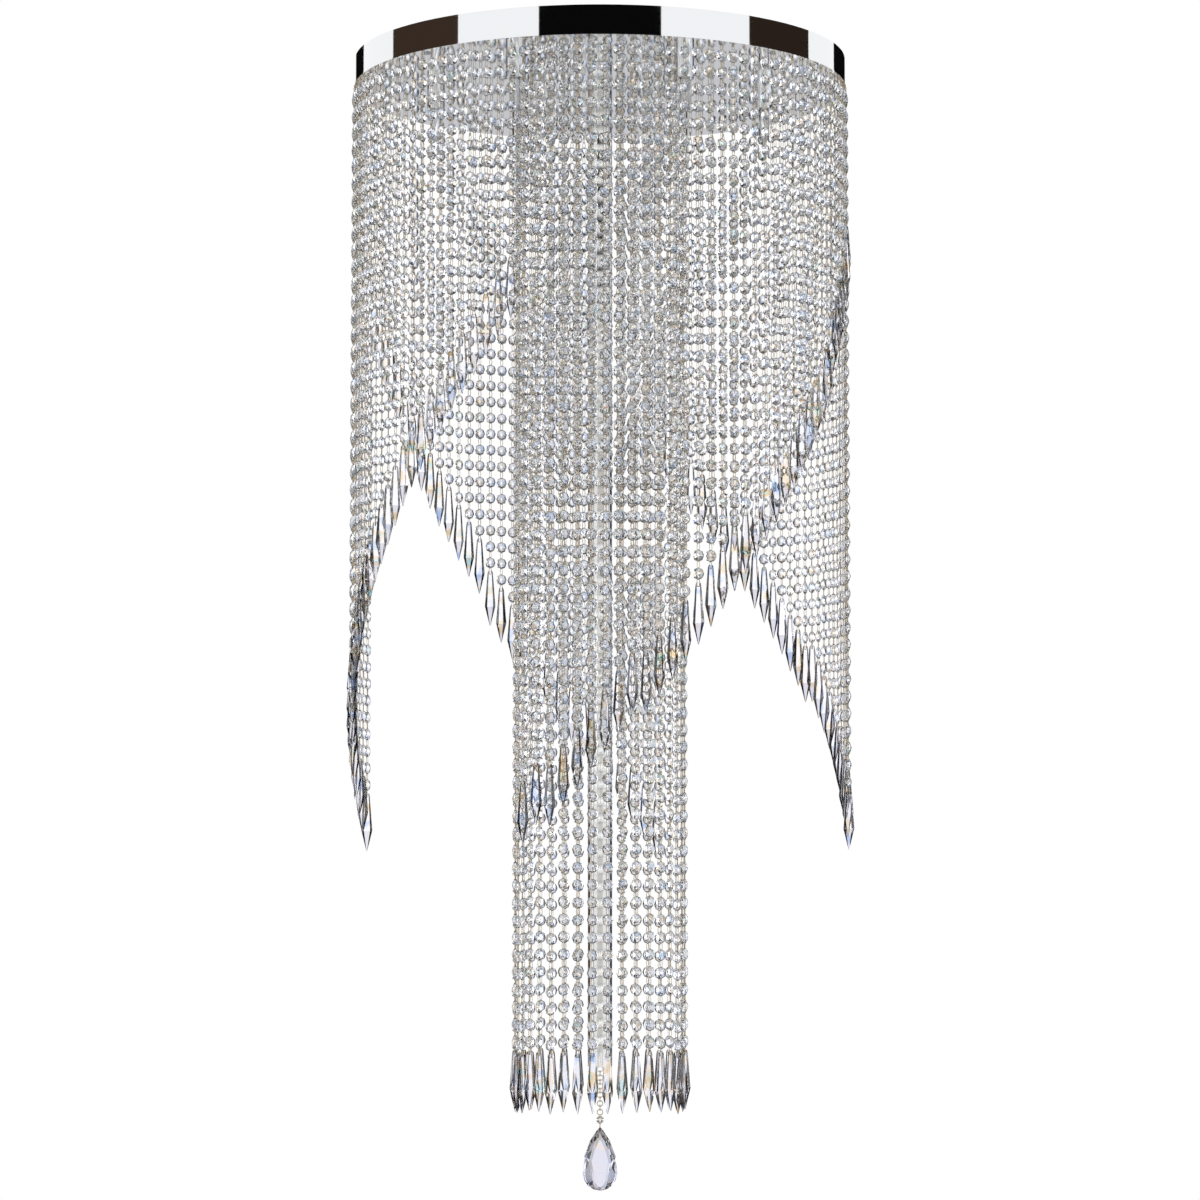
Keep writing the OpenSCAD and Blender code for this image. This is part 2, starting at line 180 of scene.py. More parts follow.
class FinishColours(bpy.types.PropertyGroup):
    """Colours of the finishes"""

    chrome: FloatVectorProperty(
        name="Chrome", description="Colour of the mirror chrome",
        default=linear("#e6e8ea"), subtype="COLOR", size=4, min=0, max=1)
    wire: FloatVectorProperty(
        name="Wire", description="Colour of the nickel-brass wire",
        default=linear("#dccdb2"), subtype="COLOR", size=4, min=0, max=1)


def add_node(tree, kind, values=None, links=None, **settings):
    """Add a node with its settings, the values of its inputs and the links that come into it."""
    node = tree.nodes.new(kind)
    for name, value in settings.items():
        setattr(node, name, value)
    for name, value in (values or {}).items():
        node.inputs[name].default_value = value
    for name, socket in (links or {}).items():
        tree.links.new(socket, node.inputs[name])
    return node


def blank_tree(owner):
    """The emptied node tree of a material or a world."""
    owner.use_nodes = True
    owner.node_tree.nodes.clear()
    return owner.node_tree


def ramp_stops(node, stops):
    """Set a colour ramp's stops from pairs of place and hex colour."""
    ramp = node.color_ramp
    while len(ramp.elements) < len(stops):
        ramp.elements.new(1.0)
    for element, (place, colour) in zip(ramp.elements, stops):
        element.position = place
        element.color = linear(colour)


def make_finish(name, grain, values, stops=(), detail=3.0, spread=0.0, dent=0.0):
    """A material of the given values, with a pattern whose features are about a grain across, in metres.

    Where they are given, stops draw the pattern in colours, a spread makes the roughness wander with it,
    and a dent presses it into the surface to a depth in metres.
    """
    material = bpy.data.materials.new(name)
    tree = blank_tree(material)
    place = add_node(tree, "ShaderNodeTexCoord")
    noise = add_node(tree, "ShaderNodeTexNoise", {"Scale": 1 / grain, "Detail": detail},
                     {"Vector": place.outputs["Object"]})
    links = {}
    if stops:
        shades = add_node(tree, "ShaderNodeValToRGB", links={"Fac": noise.outputs["Fac"]})
        ramp_stops(shades, stops)
        links["Base Color"] = shades.outputs["Color"]
    if spread:
        rough = add_node(tree, "ShaderNodeMapRange",
                         {"To Min": values["Roughness"] - spread, "To Max": values["Roughness"] + spread},
                         {"Value": noise.outputs["Fac"]})
        links["Roughness"] = rough.outputs["Result"]
    if dent:
        bump = add_node(tree, "ShaderNodeBump", {"Distance": dent}, {"Height": noise.outputs["Fac"]})
        links["Normal"] = bump.outputs["Normal"]
    surface = add_node(tree, "ShaderNodeBsdfPrincipled", values, links)
    add_node(tree, "ShaderNodeOutputMaterial", links={"Surface": surface.outputs["BSDF"]})
    return material


def mirror_chrome():
    """Chromed steel, mirror polished: sharp reflections with a trace of polishing haze."""
    colour = bpy.context.scene.finish_colours.chrome
    return make_finish("mirror_chrome", 30 * MM,
                       {"Base Color": colour, "Metallic": 1.0, "Roughness": 0.035}, spread=0.015)


def zinc_plate():
    """Zinc plate on pressed steel: a soft grey sheen, faintly mottled every few millimetres."""
    return make_finish("zinc_plate", 3 * MM,
                       {"Base Color": linear("#b9bdc0"), "Metallic": 1.0, "Roughness": 0.36},
                       spread=0.1, dent=0.02 * MM)


def nickel_brass_wire():
    """Drawn brass wire with a thin bright nickel wash: warm, with a fine drawn sheen.

    The die's marks are drawn coarser than they are, so that they show.
    """
    colour = bpy.context.scene.finish_colours.wire
    return make_finish("nickel_brass_wire", 1.5 * MM,
                       {"Base Color": colour, "Metallic": 1.0, "Roughness": 0.2}, spread=0.06)


def turned_brass():
    """Turned brass: yellow, and a little uneven from the tool, coarser than it is so that it shows."""
    return make_finish("turned_brass", 0.8 * MM,
                       {"Base Color": linear("#d3a94e"), "Metallic": 1.0, "Roughness": 0.26},
                       spread=0.07, dent=0.01 * MM)


def cut_crystal(name, clear, painted_flash_tints, grain):
    """Lead crystal, cut and flame polished: clear and colourless, with painted flashes of split light.

    The painted flashes are smooth patches about half a grain across, painted into the glass's colour in a
    faint blue, amber or teal.
    """
    # Both ends of the pattern are painted flashes: tints in the glass's colour that stand in for split
    # light
    stops = [(0.24, painted_flash_tints[0]), (0.34, clear), (0.64, clear), (0.72, painted_flash_tints[1]), (0.8, painted_flash_tints[2])]
    return make_finish(name, grain, {"Transmission Weight": 1.0, "Roughness": 0.0, "IOR": 1.56},
                       stops, detail=0.0)


def bead_crystal():
    """The beads' crystal: all but colourless, with pale painted flashes of split light."""
    return cut_crystal("bead_crystal", "#feffff", ("#c9dcf8", "#f8dab4", "#c8ebe8"), 9 * MM)


def prism_crystal():
    """The icicles' crystal: a little darker than the beads', and its painted flashes of split light are the
    strongest.
    """
    return cut_crystal("prism_crystal", "#f2f2f5", ("#b3ccf2", "#f3cf98", "#b4dfe0"), 18 * MM)


def drop_crystal():
    """The pear drop's crystal, thick enough to look grey with a trace of lilac, with painted flashes of
    split light.
    """
    return cut_crystal("drop_crystal", "#d6d6e0", ("#c9d6ee", "#f3d9c0", "#d3e6e8"), 22 * MM)


def capsule_glass():
    """Blown quartz glass of a lamp capsule: thin, clear and a little uneven."""
    return make_finish("capsule_glass", 6 * MM,
                       {"Transmission Weight": 1.0, "Roughness": 0.02, "IOR": 1.46},
                       [(0.3, "#f6f8f8"), (0.7, "#fdfefe")])


def moulded_nylon():
    """Injection-moulded nylon: off-white with a soft satin, its grain coarser than it is, to show."""
    return make_finish("moulded_nylon", 2 * MM, {"Roughness": 0.48},
                       [(0.3, "#e1e0da"), (0.7, "#ecebe6")], dent=0.02 * MM)


def silicone_sleeve():
    """Extruded silicone over the leads: dark grey, dull."""
    return make_finish("silicone_sleeve", 3 * MM, {"Roughness": 0.6}, [(0.3, "#3e3e41"), (0.7, "#4b4b4e")])


FINISHES = {
    "polished_chrome": mirror_chrome,
    "zinc_steel": zinc_plate,
    "nickel_wire": nickel_brass_wire,
    "bead_crystal": bead_crystal,
    "prism_crystal": prism_crystal,
    "drop_crystal": drop_crystal,
    "lamp_glass": capsule_glass,
    "white_nylon": moulded_nylon,
    "brass": turned_brass,
    "lead_insulation": silicone_sleeve,
}
made_finishes = {}


def finish_for(slot):
    """The material of a slot of the record, made once."""
    if slot not in made_finishes:
        made_finishes[slot] = FINISHES[slot]()
    return made_finishes[slot]


def leave_edit_mode():
    """Back to object mode, in which objects and a mesh's elements can be selected in code."""
    if bpy.context.mode != "OBJECT":
        bpy.ops.object.mode_set(mode="OBJECT")


def start_clean():
    """Nothing selected, so that what follows acts on the new piece alone."""
    leave_edit_mode()
    bpy.ops.object.select_all(action="DESELECT")


def edit_faces(piece, wanted):
    """Go to edit mode with only the wanted faces selected."""
    leave_edit_mode()
    bpy.context.tool_settings.mesh_select_mode = (False, False, True)
    for part in (piece.data.vertices, piece.data.edges):
        for item in part:
            item.select = False
    for face in piece.data.polygons:
        face.select = wanted(face)
    bpy.ops.object.mode_set(mode="EDIT")


def edit_points(piece, wanted):
    """Go to edit mode with only the wanted vertices selected."""
    leave_edit_mode()
    bpy.context.tool_settings.mesh_select_mode = (True, False, False)
    for part in (piece.data.edges, piece.data.polygons):
        for item in part:
            item.select = False
    for vertex in piece.data.vertices:
        vertex.select = wanted(vertex.co)
    bpy.ops.object.mode_set(mode="EDIT")


def close_up():
    """Merge doubled vertices, turn every face outwards and leave edit mode."""
    bpy.ops.object.mode_set(mode="EDIT")
    bpy.ops.mesh.select_all(action="SELECT")
    bpy.ops.mesh.remove_doubles(threshold=0.001 * MM)
    bpy.ops.mesh.normals_make_consistent(inside=False)
    bpy.ops.object.mode_set(mode="OBJECT")
    bpy.ops.object.transform_apply(location=True, rotation=True, scale=True)


def set_out(template, places, name):
    """One piece with a copy of the template at each place."""
    built = bmesh.new()
    for place in places:
        copied = template.data.copy()
        copied.transform(place)
        built.from_mesh(copied)
        bpy.data.meshes.remove(copied)
    mesh = bpy.data.meshes.new(name)
    built.to_mesh(mesh)
    built.free()
    piece = bpy.data.objects.new(name, mesh)
    bpy.context.scene.collection.objects.link(piece)
    return piece


def hand_over(piece, body, slot, *nodes):
    """Finish a piece: its material, its body, its slot and the CAD nodes that it stands for."""
    piece.data.materials.clear()
    piece.data.materials.append(finish_for(slot))
    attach(piece, body)
    if nodes:
        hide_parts(*nodes)


def place_at(angle, radius, height, turn=0.0):
    """The place of a copy that faces outwards at an angle from the front, then turns about its strand."""
    spot = Vector((radius * math.sin(angle), -radius * math.cos(angle), height))
    return Matrix.Translation(spot) @ Matrix.Rotation(angle + turn, 4, "Z")


class Strand:
    """One strand: its ring, angle, radius and sector, its number of beads and how far apart they are."""

    def __init__(self, ring, angle, radius, sector, beads, pitch):
        self.ring, self.angle, self.radius = ring, angle, radius
        self.sector, self.beads, self.pitch = sector, beads, pitch

    def height(self, number):
        """Height of a bead's middle, counted from 0, or with halves of the link's below it."""
        return bpy.context.scene.ring_sizes.first_bead_height - number * self.pitch


def full_pitch():
    """From the middle of one bead to the next on a strand that doesn't run short."""
    sizes = bpy.context.scene.strand_sizes
    return sizes.bead_height + sizes.link_gap


def read_strands(ring, count, first, radius, sectors):
    """The strands of a ring, each with as many beads as reach from its hook to its prism in the frame."""
    step = 2 * math.pi / count
    tops = {}
    for sector in range(1, sectors + 1):
        for vertex in frame["nodes"][f"{ring}_prisms_{sector}"].data.vertices:
            angle = math.atan2(vertex.co.x, -vertex.co.y)
            number = round((angle - first) / step) % count
            known = tops.get(number, (sector, vertex.co.z))
            tops[number] = (sector, max(known[1], vertex.co.z))
    first_bead = bpy.context.scene.ring_sizes.first_bead_height
    slack = bpy.context.scene.strand_sizes.slack
    chance = random.Random(SEEDS["slack"])
    strands = []
    for number, (sector, top) in sorted(tops.items()):
        # A prism's top is half a pitch below the last bead's middle
        beads = round((first_bead - top) / full_pitch() + 0.5)
        pitch = full_pitch() * (1 - chance.uniform(0, slack))
        strands.append(Strand(ring, first + number * step, radius, sector, beads, pitch))
    return strands


def all_strands():
    """Both rings of strands."""
    rings = bpy.context.scene.ring_sizes
    outer = read_strands("outer", rings.outer_count, rings.outer_first, rings.outer_radius,
                         rings.outer_sectors)
    column = read_strands("column", rings.column_count, rings.column_first, rings.column_radius,
                          rings.column_sectors)
    return outer + column


def by_sector(strands):
    """The strands of each sector, under the ring's name and the sector's number."""
    sectors = {}
    for strand in strands:
        sectors.setdefault((strand.ring, strand.sector), []).append(strand)
    return sectors


class OBJECT_OT_cut_beads(bpy.types.Operator):
    """Cut beads: octagons with three rings of eight facets round a small table on each face"""

    bl_idname = "object.cut_beads"
    bl_label = "Cut beads"

    def execute(self, context):
        sizes = context.scene.strand_sizes
        start_clean()
        bpy.ops.mesh.primitive_cylinder_add(vertices=8, radius=0.5, depth=1, end_fill_type="NGON",
                                            rotation=(math.pi / 2, 0, 0))
        bead = context.object
        bpy.ops.object.transform_apply(rotation=True)
        bead.scale = (sizes.bead_width, sizes.bead_girdle, sizes.bead_height)
        bpy.ops.object.transform_apply(scale=True)
        # Both faces step inwards and rise, from the rim over the break to the table
        edit_faces(bead, lambda face: abs(face.normal.y) > FACING)
        crown_width = sizes.bead_width / 2 * (1 - sizes.bead_table) - sizes.rim_width - sizes.break_width
        for width, slope in ((sizes.rim_width, sizes.rim_slope), (sizes.break_width, sizes.break_slope),
                             (crown_width, sizes.crown_slope)):
            bpy.ops.mesh.inset(thickness=width, depth=width * math.tan(slope), use_individual=True)
        close_up()
        chance = random.Random(SEEDS["beads"])
        for (ring, sector), strands in by_sector(all_strands()).items():
            places = []
            for strand in strands:
                swivel = chance.uniform(-sizes.swivel, sizes.swivel)
                for number in range(strand.beads):
                    turn = swivel + chance.uniform(-sizes.wobble, sizes.wobble)
                    places.append(place_at(strand.angle, strand.radius, strand.height(number), turn))
            beads = set_out(bead, places, f"cut_beads_{ring}_{sector}")
            hand_over(beads, f"{ring}_sector_{sector}", "bead_crystal", f"{ring}_strands_{sector}")
        bpy.data.objects.remove(bead)
        return {"FINISHED"}


class OBJECT_OT_wire_links(bpy.types.Operator):
    """Oval wire links that join the beads, hang the first one on its hook and carry the prism"""

    bl_idname = "object.wire_links"
    bl_label = "Wire links"

    def execute(self, context):
        sizes = context.scene.strand_sizes
        start_clean()
        bpy.ops.mesh.primitive_torus_add(
            major_segments=8, minor_segments=4, major_radius=sizes.link_width / 2,
            minor_radius=sizes.link_wire / 2, rotation=(math.pi / 2, 0, 0))
        link = context.object
        bpy.ops.object.transform_apply(rotation=True)
        bpy.ops.object.shade_smooth()
        # The upper and the lower half of the ring are drawn apart to an oval
        stretch = (sizes.link_gap + 2 * sizes.link_reach - sizes.link_width - sizes.link_wire) / 2
        for side in (1, -1):
            edit_points(link, lambda point: side * point.z > NEAR + sizes.link_wire / 2)
            bpy.ops.transform.translate(value=(0, 0, side * stretch))
        close_up()
        half_link = stretch + sizes.link_width / 2
        # The first link goes through the hook's eye, its upper wire a little below the eye's middle
        sag = 0.2 * MM
        link_top = context.scene.ring_sizes.hook_eye_height - sag
        chance = random.Random(SEEDS["links"])
        for (ring, sector), strands in by_sector(all_strands()).items():
            places = []
            for strand in strands:
                places.append(place_at(strand.angle, strand.radius, link_top - half_link))
                for number in range(strand.beads):
                    turn = chance.uniform(-sizes.swivel, sizes.swivel)
                    places.append(place_at(strand.angle, strand.radius, strand.height(number + 0.5), turn))
            links = set_out(link, places, f"wire_links_{ring}_{sector}")
            hand_over(links, f"{ring}_sector_{sector}", "nickel_wire")
        bpy.data.objects.remove(link)
        return {"FINISHED"}


class OBJECT_OT_icicle_prisms(bpy.types.Operator):
    """Icicle prisms: six long facets that widen downwards and end in a point"""

    bl_idname = "object.icicle_prisms"
    bl_label = "Icicle prisms"

    def execute(self, context):
        sizes = context.scene.prism_sizes
        # Depth below the prism's top and half width there, as shares of its length and width
        stations = [(0.0, 0.17), (0.015, 0.215), (0.06, 0.26), (0.64, 0.5), (0.985, 0.05), (1.0, 0.01)]
        start_clean()
        bpy.ops.mesh.primitive_circle_add(vertices=6, radius=stations[0][1] * sizes.width, fill_type="NGON",
                                          rotation=(0, 0, math.pi / 2))
        prism = context.object
        bpy.ops.object.transform_apply(rotation=True)
        bpy.context.tool_settings.mesh_select_mode = (False, False, True)
        bpy.ops.object.mode_set(mode="EDIT")
        bpy.ops.mesh.select_all(action="SELECT")
        for (above, narrow), (below, wide) in zip(stations, stations[1:]):
            bpy.ops.mesh.extrude_region_move(
                TRANSFORM_OT_translate={"value": (0, 0, (above - below) * sizes.length)})
            bpy.ops.transform.resize(value=(wide / narrow, wide / narrow, 1),
                                     center_override=(0, 0, -below * sizes.length))
        bpy.ops.mesh.select_all(action="SELECT")
        bpy.ops.transform.resize(value=(1, sizes.flatness, 1), center_override=(0, 0, 0))
        # The corners of the front and the back facet, which are half a width across at first
        hexagon_front = 0.5
        edit_points(prism, lambda point: abs(point.y) > 0.01 * MM)
        bpy.ops.transform.resize(value=(sizes.front / hexagon_front, 1, 1), center_override=(0, 0, 0))
        close_up()
        chance = random.Random(SEEDS["prisms"])
        for (ring, sector), strands in by_sector(all_strands()).items():
            places = []
            for strand in strands:
                # An icicle hangs free: each keeps a facet to the front, give or take
                turn = chance.uniform(-sizes.swivel, sizes.swivel) - strand.angle
                top = strand.height(strand.beads - 0.5)
                places.append(place_at(strand.angle, strand.radius, top, turn))
            prisms = set_out(prism, places, f"icicle_prisms_{ring}_{sector}")
            hand_over(prisms, f"{ring}_sector_{sector}", "prism_crystal", f"{ring}_prisms_{sector}")
        bpy.data.objects.remove(prism)
        return {"FINISHED"}


class OBJECT_OT_hook_eyes(bpy.types.Operator):
    """Hooks under the base plate: a stud and an eye for each strand"""

    bl_idname = "object.hook_eyes"
    bl_label = "Hook eyes"

    eye_radius: FloatProperty(
        name="Eye radius", description="Radius of an eye to the middle of its wire",
        default=1.7 * MM, unit="LENGTH")
    wire: FloatProperty(
        name="Wire", description="Diameter of the wire of an eye",
        default=1.0 * MM, unit="LENGTH")
    stud_length: FloatProperty(
        name="Stud", description="Length of the stud above the eye",
        default=1.9 * MM, unit="LENGTH")
    stud_radius: FloatProperty(
        name="Stud radius", description="Radius of the stud above the eye",
        default=0.6 * MM, unit="LENGTH")

    def execute(self, context):
        start_clean()
        bpy.ops.mesh.primitive_torus_add(
            major_segments=14, minor_segments=6, major_radius=self.eye_radius, minor_radius=self.wire / 2,
            rotation=(0, math.pi / 2, 0))
        eye = context.object
        bpy.ops.object.transform_apply(rotation=True)
        sunk = 0.4 * MM      # How far the stud's foot goes into the eye's wire
        bpy.ops.object.mode_set(mode="EDIT")
        bpy.ops.mesh.primitive_cylinder_add(
            vertices=8, radius=self.stud_radius, depth=self.stud_length,
            location=(0, 0, self.eye_radius + self.stud_length / 2 - sunk))
        bpy.ops.object.mode_set(mode="OBJECT")
        bpy.ops.object.shade_smooth_by_angle(angle=math.radians(50))
        close_up()
        height = context.scene.ring_sizes.hook_eye_height
        strands = all_strands()
        for ring, node in (("outer", "outer_hooks"), ("column", "inner_hooks")):
            places = [place_at(strand.angle, strand.radius, height)
                      for strand in strands if strand.ring == ring]
            hooks = set_out(eye, places, f"hook_eyes_{ring}")
            hand_over(hooks, "root", "nickel_wire", node)
        bpy.data.objects.remove(eye)
        return {"FINISHED"}


class OBJECT_OT_pear_drop(bpy.types.Operator):
    """Pear drop: a thin girdle, and two rings of facets round a long table on each face"""

    bl_idname = "object.pear_drop"
    bl_label = "Pear drop"

    girdle: FloatProperty(
        name="Girdle", description="Thickness of the drop at its edge",
        default=2 * MM, unit="LENGTH")
    table_foot: FloatProperty(
        name="Table foot", description="What the lower half of the table narrows to, as a share",
        default=0.66, subtype="FACTOR", min=0.3, max=1)

    def execute(self, context):
        low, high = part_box("pear_drop")
        width, height, depth = high.x - low.x, high.z - low.z, high.y - low.y
        radius = width / 2
        belly = low.z + radius
        start_clean()
        bpy.ops.mesh.primitive_circle_add(vertices=16, radius=radius, fill_type="NGON",
                                          location=(0, 0, belly), rotation=(math.pi / 2, 0, 0))
        drop = context.object
        bpy.ops.object.transform_apply(location=True, rotation=True)
        # The upper half is drawn up to the tip, and in towards it
        tip_rise = (high.z - belly) / radius
        edit_points(drop, lambda point: point.z > belly + NEAR)
        bpy.ops.transform.resize(value=(1, 1, tip_rise), center_override=(0, 0, belly))
        # Above each share of the way up to the tip, what the width shrinks to
        for share, narrow in ((0.3, 0.97), (0.6, 0.83), (0.85, 0.62)):
            edit_points(drop, lambda point: point.z > belly + share * (high.z - belly))
            bpy.ops.transform.resize(value=(narrow, 1, 1), center_override=(0, 0, belly))
        crown = (depth - self.girdle) / 2
        edit_faces(drop, lambda face: True)
        bpy.ops.mesh.extrude_region_move(TRANSFORM_OT_translate={"value": (0, self.girdle, 0)})
        bpy.ops.mesh.select_all(action="SELECT")
        bpy.ops.transform.translate(value=(0, -self.girdle / 2, 0))
        bpy.ops.mesh.normals_make_consistent(inside=False)
        # Each step: its rise as a share of the crown, and what the face shrinks to across and along
        steps = ((0.5, 0.87, 0.92), (0.42, 0.62, 0.82))
        # The faces shrink towards a point low in the drop, which leaves the widest facets at its tip
        centre = (0, 0, low.z + 0.2 * height)
        for side in (-1, 1):
            edge = self.girdle / 2
            for rise, across, along in steps:
                edit_faces(drop, lambda face: side * face.normal.y > FACING
                           and abs(side * face.center.y - edge) < NEAR)
                bpy.ops.mesh.extrude_region_move(
                    TRANSFORM_OT_translate={"value": (0, side * rise * crown, 0)})
                bpy.ops.transform.resize(value=(across, 1, along), center_override=centre)
                edge += rise * crown
            # The table narrows downwards, so that it is widest half way down
            edit_points(drop, lambda point: side * point.y > edge - NEAR and point.z < belly + NEAR)
            bpy.ops.transform.resize(value=(self.table_foot, 1, 1), center_override=centre)
        close_up()
        drop.name = drop.data.name = "cut_pear_drop"
        hand_over(drop, "pendant_drop", "drop_crystal", "pear_drop")
        return {"FINISHED"}


class OBJECT_OT_round_bead(bpy.types.Operator):
    """Round faceted bead over the pear drop"""

    bl_idname = "object.round_bead"
    bl_label = "Round bead"

    def execute(self, context):
        low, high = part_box("pendant_bead")
        radius = (high.z - low.z) / 2
        start_clean()
        bpy.ops.mesh.primitive_uv_sphere_add(segments=10, ring_count=6, radius=radius,
                                             location=(0, 0, (low.z + high.z) / 2))
        bead = context.object
        bpy.ops.object.transform_apply(location=True)
        close_up()
        bead.name = bead.data.name = "faceted_round_bead"
        hand_over(bead, "pendant_drop", "bead_crystal", "pendant_bead")
        return {"FINISHED"}


class OBJECT_OT_frame_finishes(bpy.types.Operator):
    """Finishes of the pieces that stay as the frame has them"""

    bl_idname = "object.frame_finishes"
    bl_label = "Frame finishes"

    def execute(self, context):
        slots = {part["node"]: part["material_slot"] for part in frame["record"]["subparts"]}
        for name, node in frame["nodes"].items():
            node.data.materials.clear()
            node.data.materials.append(finish_for(slots[name]))
        return {"FINISHED"}


class OBJECT_OT_studio(bpy.types.Operator):
    """Stage: pale floor, soft lamps, a white studio with dark cards, and the camera"""

    bl_idname = "object.studio"
    bl_label = "Studio"

    def execute(self, context):
        self.set_floor()
        self.set_lamps()
        self.set_world()
        self.set_camera()
        context.scene.view_settings.view_transform = "Standard"
        return {"FINISHED"}

    def set_floor(self):
        """A pale floor, far enough down to leave views from below free, that fades to white outwards."""
        radius, height = 4.0, -3.4
        fade_start, fade_end = 0.6, 2.6
        start_clean()
        bpy.ops.mesh.primitive_circle_add(vertices=96, radius=radius, fill_type="NGON",
                                          location=(0, 0, height))
        floor = bpy.context.object
        floor.name = "studio_floor"
        material = bpy.data.materials.new("pale_studio_floor")
        tree = blank_tree(material)
        paint = add_node(tree, "ShaderNodeBsdfDiffuse", {"Color": linear("#dfdfe0")})
        glow = add_node(tree, "ShaderNodeEmission", {"Color": linear("#ffffff")})
        place = add_node(tree, "ShaderNodeTexCoord")
        far = add_node(tree, "ShaderNodeVectorMath", links={0: place.outputs["Object"]}, operation="LENGTH")
        fade = add_node(tree, "ShaderNodeMapRange", {"From Min": fade_start, "From Max": fade_end},
                        {"Value": far.outputs["Value"]})
        path = add_node(tree, "ShaderNodeLightPath")
        seen = add_node(tree, "ShaderNodeMath", operation="MULTIPLY",
                        links={0: fade.outputs["Result"], 1: path.outputs["Is Camera Ray"]})
        surface = add_node(tree, "ShaderNodeMixShader",
                           links={"Fac": seen.outputs["Value"], 1: paint.outputs["BSDF"],
                                  2: glow.outputs["Emission"]})
        add_node(tree, "ShaderNodeOutputMaterial", links={"Surface": surface.outputs["Shader"]})
        floor.data.materials.append(material)

    def set_lamps(self):
        """Three soft square lamps, which metal and glass don't show."""
        # Name, place and width in metres, and power in watts
        lamps = [
            ("key_softbox", (-2.6, -3.2, 0.6), 2.0, 60),
            ("fill_softbox", (3.0, -2.4, -0.4), 2.4, 34),
            ("back_softbox", (0.8, 3.4, 0.4), 2.4, 40),
        ]
        middle = Vector((0, 0, -0.7))
        for name, spot, size, power in lamps:
            bpy.ops.object.light_add(type="AREA", location=spot)
            lamp = bpy.context.object
            lamp.name = name
            lamp.data.size = size
            lamp.data.energy = power
            lamp.rotation_euler = (middle - Vector(spot)).to_track_quat("-Z", "Y").to_euler()
            lamp.visible_glossy = False
            lamp.visible_transmission = False

    def set_world(self):
        """White to the camera. Glass and metal see a room with cards, other things a soft white."""
        world = bpy.data.worlds.new("card_studio")
        bpy.context.scene.world = world
        tree = blank_tree(world)
        place = add_node(tree, "ShaderNodeTexCoord")
        way = add_node(tree, "ShaderNodeSeparateXYZ", links={0: place.outputs["Generated"]})
        path = add_node(tree, "ShaderNodeLightPath")
        cards, room = self.cards_and_room(tree, way)
        # Brighter through the glass than off it, so that a mirror shows light grey before the white
        off_it, through_it = 0.95, 1.7
        gain = add_node(tree, "ShaderNodeMapRange", {"To Min": off_it, "To Max": through_it},
                        {"Value": path.outputs["Is Transmission Ray"]})
        bright = add_node(tree, "ShaderNodeVectorMath", operation="SCALE",
                          links={0: room.outputs[2], "Scale": gain.outputs["Result"]})
        # Only a mirrored ray that rises as steeply as those off the canopy shows the cards
        least_rise = 0.155
        steep = add_node(tree, "ShaderNodeMath", {1: least_rise}, {0: way.outputs["Z"]},
                         operation="GREATER_THAN")
        mirrored = add_node(tree, "ShaderNodeMath", operation="SUBTRACT", use_clamp=True,
                            links={0: steep.outputs["Value"], 1: path.outputs["Is Transmission Ray"]})
        seen = add_node(tree, "ShaderNodeMix", data_type="RGBA",
                        links={"Factor": mirrored.outputs["Value"], 6: bright.outputs["Vector"],
                               7: cards.outputs["Color"]})
        sharp = add_node(tree, "ShaderNodeMath", operation="MAXIMUM",
                         links={0: path.outputs["Is Glossy Ray"], 1: path.outputs["Is Transmission Ray"]})
        sharp_strength, soft_strength = 1.1, 0.55
        sharp_light = add_node(tree, "ShaderNodeBackground", {"Strength": sharp_strength},
                               {"Color": seen.outputs[2]})
        soft_light = add_node(tree, "ShaderNodeBackground",
                              {"Color": linear("#ffffff"), "Strength": soft_strength})
        white = add_node(tree, "ShaderNodeBackground", {"Color": linear("#ffffff"), "Strength": 1.0})
        others = add_node(tree, "ShaderNodeMixShader",
                          links={"Fac": sharp.outputs["Value"], 1: soft_light.outputs["Background"],
                                 2: sharp_light.outputs["Background"]})
        shown = add_node(tree, "ShaderNodeMixShader",
                         links={"Fac": path.outputs["Is Camera Ray"], 1: others.outputs["Shader"],
                                2: white.outputs["Background"]})
        add_node(tree, "ShaderNodeOutputWorld", links={"Surface": shown.outputs["Shader"]})

    def cards_and_room(self, tree, way):
        """The cards over the light and the room beside it, as nodes that give a colour for each way."""
        ahead = add_node(tree, "ShaderNodeMath", {1: -1.0}, {0: way.outputs["Y"]}, operation="MULTIPLY")
        azimuth = add_node(tree, "ShaderNodeMath", operation="ARCTAN2",
                           links={0: way.outputs["X"], 1: ahead.outputs["Value"]})
        turn = add_node(tree, "ShaderNodeMapRange", {"From Min": -math.pi, "From Max": math.pi},
                        {"Value": azimuth.outputs["Value"]})
        # Cards over the light, that the canopy mirrors: their edges in degrees from the front, and colours
        edges = [(-180, "#f2f2f2"), (-168, "#0a0a0a"), (-147, "#ffffff"), (-113, "#3a2d25"),
                 (-69, "#ffffff"), (-29, "#080808"), (28, "#ffffff"), (72, "#2b211b"), (113, "#ffffff"),
                 (142, "#0a0a0a")]
        cards = add_node(tree, "ShaderNodeValToRGB", links={"Fac": turn.outputs["Result"]})
        cards.color_ramp.interpolation = "CONSTANT"
        ramp_stops(cards, [((angle + 180) / 360, colour) for angle, colour in edges])
